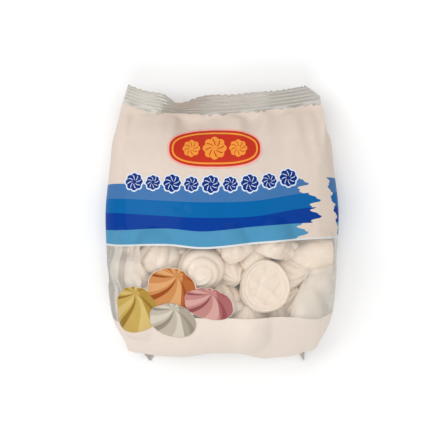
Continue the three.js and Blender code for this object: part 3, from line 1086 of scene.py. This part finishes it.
# Printed cookies: x, y, half width, half height, lean in degrees and number of ribs
PRINTED_COOKIES = {
    "orange": (-33.5, -47.8, 16.5, 14.2, -20, 7),
    "yellow": (-58.5, -63.4, 15.5, 14.9, 8, 6),
    "pink": (-8.8, -56.6, 16.5, 10.0, -14, 7),
    "white": (-33.5, -68.8, 15.6, 11.2, -8, 6),
}
TIP_HEIGHT = 0.72
OUTLINE_POWER = 2.2
SHOULDER = 0.3
RIB_BULGE = 0.12
RIB_BEND = 0.25
RIBS_FROM = 0.12
RIB_RIM = 0.04
# Lit ribs and grooves: phase and share of each rib
LIT_RIBS = (2.4, 0.55)
GROOVES = (0.0, 0.14)
COOKIE_REACH = 1.3
SHADE_FROM = 0.4
SHADE_SLANT = 0.25
SHADE_RIM = 0.03
HALO = 0.07
HALO_NEAR = (-33.0, -60.0, 48.0, 30.0)


def cookie_places(shape, across, up):
    x, y, width, height, lean, ribs = shape
    c, s = math.cos(math.radians(lean)), math.sin(math.radians(lean))
    p = ((across - x) * c + (up - y) * s) / width
    q = ((up - y) * c - (across - x) * s) / height
    angle = np.arctan2(p, TIP_HEIGHT - q)
    away = np.hypot(p, TIP_HEIGHT - q)
    return p, q, angle, away, ribs


def cookie_outline(shape):
    def field(across, up):
        p, q, angle, away, ribs = cookie_places(shape, across, up)
        bulge = RIB_BULGE * np.abs(np.cos(ribs * (angle + RIB_BEND * away) / 2))
        shoulder = SHOULDER * np.clip(q, 0, 1) * np.abs(p)
        return 1 + bulge - np.abs(p) ** OUTLINE_POWER - np.abs(q) ** OUTLINE_POWER - shoulder
    return field


def cookie_halo(across, up):
    """Pale ground under all the printed cookies."""
    fields = [cookie_outline(shape)(across, up) for shape in PRINTED_COOKIES.values()]
    return np.max(fields, axis=0) + HALO


def cookie_ribs(shape, phase, share):
    """Wedges that fan out from the tip: the grooves or the lit ribs."""
    outline = cookie_outline(shape)
    def field(across, up):
        _, _, angle, away, ribs = cookie_places(shape, across, up)
        wedge = np.cos(ribs * (angle + RIB_BEND * away) + phase) - 1 + share
        fan = np.minimum(wedge * away, away - RIBS_FROM)
        return np.minimum(fan, outline(across, up) - RIB_RIM)
    return field


def cookie_shade(shape):
    """The side away from the light."""
    outline = cookie_outline(shape)
    def field(across, up):
        p, q, _, _, _ = cookie_places(shape, across, up)
        return np.minimum(p - SHADE_FROM + SHADE_SLANT * q, outline(across, up) - SHADE_RIM)
    return field


# Materials

GLOSS_RANGE = (0.8, 1.2)
NOISE_DETAIL = 5
BUMP_DEPTH = 0.4


def linear(colour):
    """A colour from 0 to 255 as linear light."""
    share = np.array(colour) / 255
    light = np.where(share <= 0.04045, share / 12.92, ((share + 0.055) / 1.055) ** 2.4)
    return (*light, 1.0)


def shaded(name, colour, spread, grain, roughness, bump, **sockets):
    """A material whose colour, gloss and surface vary with fine noise."""
    material = bpy.data.materials.new(name)
    material.use_nodes = True
    nodes, links = material.node_tree.nodes, material.node_tree.links
    surface = nodes["Principled BSDF"]
    place = nodes.new("ShaderNodeTexCoord")
    noise = nodes.new("ShaderNodeTexNoise")
    noise.inputs["Scale"].default_value = grain
    noise.inputs["Detail"].default_value = NOISE_DETAIL
    links.new(place.outputs["Object"], noise.inputs["Vector"])
    tone = nodes.new("ShaderNodeMix")
    tone.data_type = "RGBA"
    base = np.array(linear(colour))
    tone.inputs["A"].default_value = (*(base[:3] * (1 - spread)), 1)
    tone.inputs["B"].default_value = (*np.minimum(base[:3] * (1 + spread), 1), 1)
    links.new(noise.outputs["Fac"], tone.inputs["Factor"])
    links.new(tone.outputs["Result"], surface.inputs["Base Color"])
    gloss = nodes.new("ShaderNodeMapRange")
    gloss.inputs["To Min"].default_value = roughness * GLOSS_RANGE[0]
    gloss.inputs["To Max"].default_value = roughness * GLOSS_RANGE[1]
    links.new(noise.outputs["Fac"], gloss.inputs["Value"])
    links.new(gloss.outputs["Result"], surface.inputs["Roughness"])
    relief = nodes.new("ShaderNodeBump")
    relief.inputs["Strength"].default_value = bump
    relief.inputs["Distance"].default_value = BUMP_DEPTH * MM
    links.new(noise.outputs["Fac"], relief.inputs["Height"])
    links.new(relief.outputs["Normal"], surface.inputs["Normal"])
    for socket, value in sockets.items():
        surface.inputs[socket.replace("_", " ")].default_value = value
    return material


def film_materials():
    return [
        shaded("clear_film", (236, 230, 222), 0.02, 220, 0.14, 0.15, Alpha=0.14, IOR=2.4),
        shaded("seal_film", (180, 174, 165), 0.08, 300, 0.16, 0.2, Alpha=0.92, IOR=2.2),
        # A lighter copy of the seal film: painted light on the seal's left end.
        shaded("seal_film_painted_light", (197, 191, 181), 0.08, 300, 0.16, 0.2, Alpha=0.92, IOR=2.2),
    ]


def ink(name, colour, **sockets):
    gloss = dict(Coat_Weight=0.05, Coat_Roughness=0.12, Specular_IOR_Level=0.05)
    return shaded(name, colour, 0.03, 260, 0.4, 0.08, **gloss, **sockets)


def meringue():
    soft = dict(Subsurface_Weight=0.3, Subsurface_Radius=(1.0, 0.7, 0.5), Subsurface_Scale=4 * MM)
    return shaded("meringue", (234, 218, 200), 0.04, 700, 0.75, 0.4, **soft)


# Heights of the printed layers above the film
BACK_LIFT = 0.04
GROUND_LIFT = 0.06
BAND_LIFT = 0.12
SEAM_LIFT = 0.14
BADGE_LIFTS = (0.14, 0.2, 0.26, 0.32)
ROSETTE_LIFTS = (0.18, 0.24, 0.3)
HALO_LIFT = 0.1
COOKIE_LIFT = 0.14
SHADE_LIFT = 0.03
HAZE_LIFT = 0.04


def add_ground(art):
    """White panels, the bottom strip's white a lighter copy whose extra brightness is painted light,
    and the clouded film beside the window, streaked with painted fold light and shade.
    """
    white = ink("white_ink", (223, 207, 194), Alpha=0.95)
    # The strip's white is a lighter copy of the panel's white: painted light.
    painted_light_strip_white = ink("strip_ink_painted_light", (232, 218, 206), Alpha=0.95)
    art.add("print_panel", white, GROUND_LIFT, panel, 0)
    art.add("print_strip", painted_light_strip_white, GROUND_LIFT, bottom_strip(art.seam), 0)
    art.add("print_back", white, BACK_LIFT, back_panel, 0)
    # The pale layers cloud the film in streaks of painted fold light; the dark layer paints fold shade.
    for layer, colour in enumerate(HAZE_AND_FOLD_SHADE_COLOURS):
        cloud_and_painted_folds = shaded(f"clouded_film_painted_folds_{layer + 1}", colour, 0.05, 120, 0.25, 0.1, Alpha=HAZE_ALPHA)
        art.add("film_haze_painted_folds", cloud_and_painted_folds, HAZE_LIFT * (1 + layer), haze_and_painted_folds(layer), 0)


def add_seam(art, seal, painted_light_seal):
    """Sealed film just below the top seal, brighter left of the kink as painted light."""
    teeth = seam_teeth()

    def left_teeth(across, up):
        return np.minimum(teeth(across, up), PAINTED_LIGHT_SEAL_X - across)

    def right_teeth(across, up):
        return np.minimum(teeth(across, up), across - PAINTED_LIGHT_SEAL_X)

    art.add("film_seam", painted_light_seal, SEAM_LIFT, left_teeth, 2, TEETH_NEAR)
    art.add("film_seam", seal, SEAM_LIFT, right_teeth, 2, TEETH_NEAR)


def add_bands(art):
    blues = ((66, 113, 167), (2, 97, 162), (0, 57, 145), (76, 143, 180))
    for index, colour in enumerate(blues):
        art.add("print_bands", ink(f"blue_ink_{index + 1}", colour), BAND_LIFT, band(index))
    art.add("print_bands", ink("line_ink", (216, 217, 216)), BAND_LIFT, white_line)


def add_badge(art):
    red, amber = ink("red_ink", (196, 50, 32)), ink("amber_ink", (238, 152, 60))
    glow, ground, drawn, lines = BADGE_LIFTS
    art.add("print_badge", ink("blush_ink", (236, 176, 164)), glow, badge(BADGE_GLOW))
    art.add("print_badge", red, ground, badge(0))
    art.add("print_badge", amber, drawn, ring(*[badge(-inset) for inset in BADGE_RING]))
    x, y, _, _ = BADGE
    for step, size in BADGE_ROSETTES:
        near = (x + step, y, BADGE_REACH * size, BADGE_REACH * size)
        art.add("print_badge", amber, drawn, rosette(x + step, y, size), 2, near)
        art.add("print_badge", red, lines, rosette_lines(x + step, y, size), 2, near)


def add_rosette_row(art):
    pale, navy = ink("pale_ink", (214, 224, 238)), ink("navy_ink", (10, 46, 122))
    edge, body, lines = ROSETTE_LIFTS
    for k, x in enumerate(np.linspace(*ROW_X_ENDS, ROW_COUNT)):
        size = ROW_SIZES[k % 2]
        y = ROW_UP + float(wave(np.array(x), True))
        near = (x, y, ROW_REACH * size, ROW_REACH * size)
        art.add("print_rosettes", pale, edge, rosette(x, y, size, OUTLINE), 2, near)
        art.add("print_rosettes", navy, body, rosette(x, y, size), 2, near)
        art.add("print_rosettes", pale, lines, rosette_lines(x, y, size), 2, near)


# Shades of each printed cookie: body, lit ribs, side away from the light, and grooves
COOKIE_SHADES = {
    "orange": ((196, 134, 80), (212, 158, 106), (172, 98, 52), (150, 74, 34)),
    "yellow": ((190, 160, 86), (206, 180, 112), (172, 138, 62), (148, 112, 44)),
    "pink": ((184, 128, 122), (204, 156, 148), (164, 98, 98), (142, 76, 78)),
    "white": ((186, 176, 160), (206, 197, 182), (166, 156, 140), (146, 136, 121)),
}


def add_printed_cookies(art):
    art.add("print_cookies", ink("halo_ink", (222, 208, 194)), HALO_LIFT, cookie_halo, 1, HALO_NEAR)
    for k, (name, shape) in enumerate(PRINTED_COOKIES.items()):
        lift = COOKIE_LIFT * (1 + k)
        reach = COOKIE_REACH * max(shape[2:4])
        near = (*shape[:2], reach, reach)
        lit, grooves = cookie_ribs(shape, *LIT_RIBS), cookie_ribs(shape, *GROOVES)
        fields = (cookie_outline(shape), lit, cookie_shade(shape), grooves)
        for layer, (colour, field) in enumerate(zip(COOKIE_SHADES[name], fields)):
            shade = ink(f"{name}_ink_{layer + 1}", colour)
            art.add("print_cookies", shade, lift + SHADE_LIFT * layer, field, 1, near)


# Stage

CAMERA_PLACE = (1.0, 0.7, 760.0)
LENS = 85
SENSOR = 36
FLOOR_SIZE = 4.0
WORLD_STRENGTH = 0.36
# Lights: name, place and size in metres, power, and whether they show in reflections
LIGHTS = (
    ("left_light", (-0.9, 0.25, 1.0), 0.9, 6.6, True),
    ("right_light", (0.95, 0.1, 0.9), 0.9, 2.5, True),
    ("top_light", (0.0, 1.0, 0.9), 0.9, 3.4, True),
    ("near_light", (0.0, -1.0, 0.9), 0.9, 5.6, True),
    ("over_light", (0.0, -0.1, 1.6), 1.0, 4.6, False),
)
AIM = (0, 0, 0.02)


def add_light(name, place, size, power, glossy):
    light = bpy.data.lights.new(name, "AREA")
    light.size = size
    light.energy = power
    lamp = bpy.data.objects.new(name, light)
    lamp.location = place
    lamp.visible_glossy = glossy
    lamp.rotation_euler = (Vector(AIM) - lamp.location).to_track_quat("-Z", "Y").to_euler()
    bpy.context.scene.collection.objects.link(lamp)


def add_stage():
    lens = bpy.data.cameras.new("camera")
    lens.lens = LENS
    lens.sensor_width = SENSOR
    lens.clip_start = 0.01
    camera = bpy.data.objects.new("camera", lens)
    camera.location = Vector(CAMERA_PLACE) * MM
    bpy.context.scene.collection.objects.link(camera)
    bpy.context.scene.camera = camera

    bpy.ops.mesh.primitive_plane_add(size=FLOOR_SIZE)
    floor = bpy.context.object
    floor.name = "floor"
    floor.data.materials.append(shaded("floor", (250, 250, 250), 0.01, 3, 0.8, 0.0))

    for light in LIGHTS:
        add_light(*light)
    world = bpy.data.worlds.new("world")
    world.use_nodes = True
    background = world.node_tree.nodes["Background"]
    background.inputs["Color"].default_value = (1, 1, 1, 1)
    background.inputs["Strength"].default_value = WORLD_STRENGTH
    bpy.context.scene.world = world
    bpy.context.scene.view_settings.view_transform = "Standard"


add_stage()
film, across, up, stations, cookies = make_film()
top_edge = film[..., 1].max() + SERRATION_DEPTH / 4
shift = np.array([0, CAD_BOX[1].y / MM - top_edge, 0])
film_kinds = film_materials()
film_mesh(film + shift, stations, film_kinds)
cookie_mesh(cookies, shift, meringue())
art = Print(film + shift, across, up)
add_seam(art, *film_kinds[1:])
for add_layers in (add_ground, add_bands, add_badge, add_rosette_row, add_printed_cookies):
    add_layers(art)
art.build()
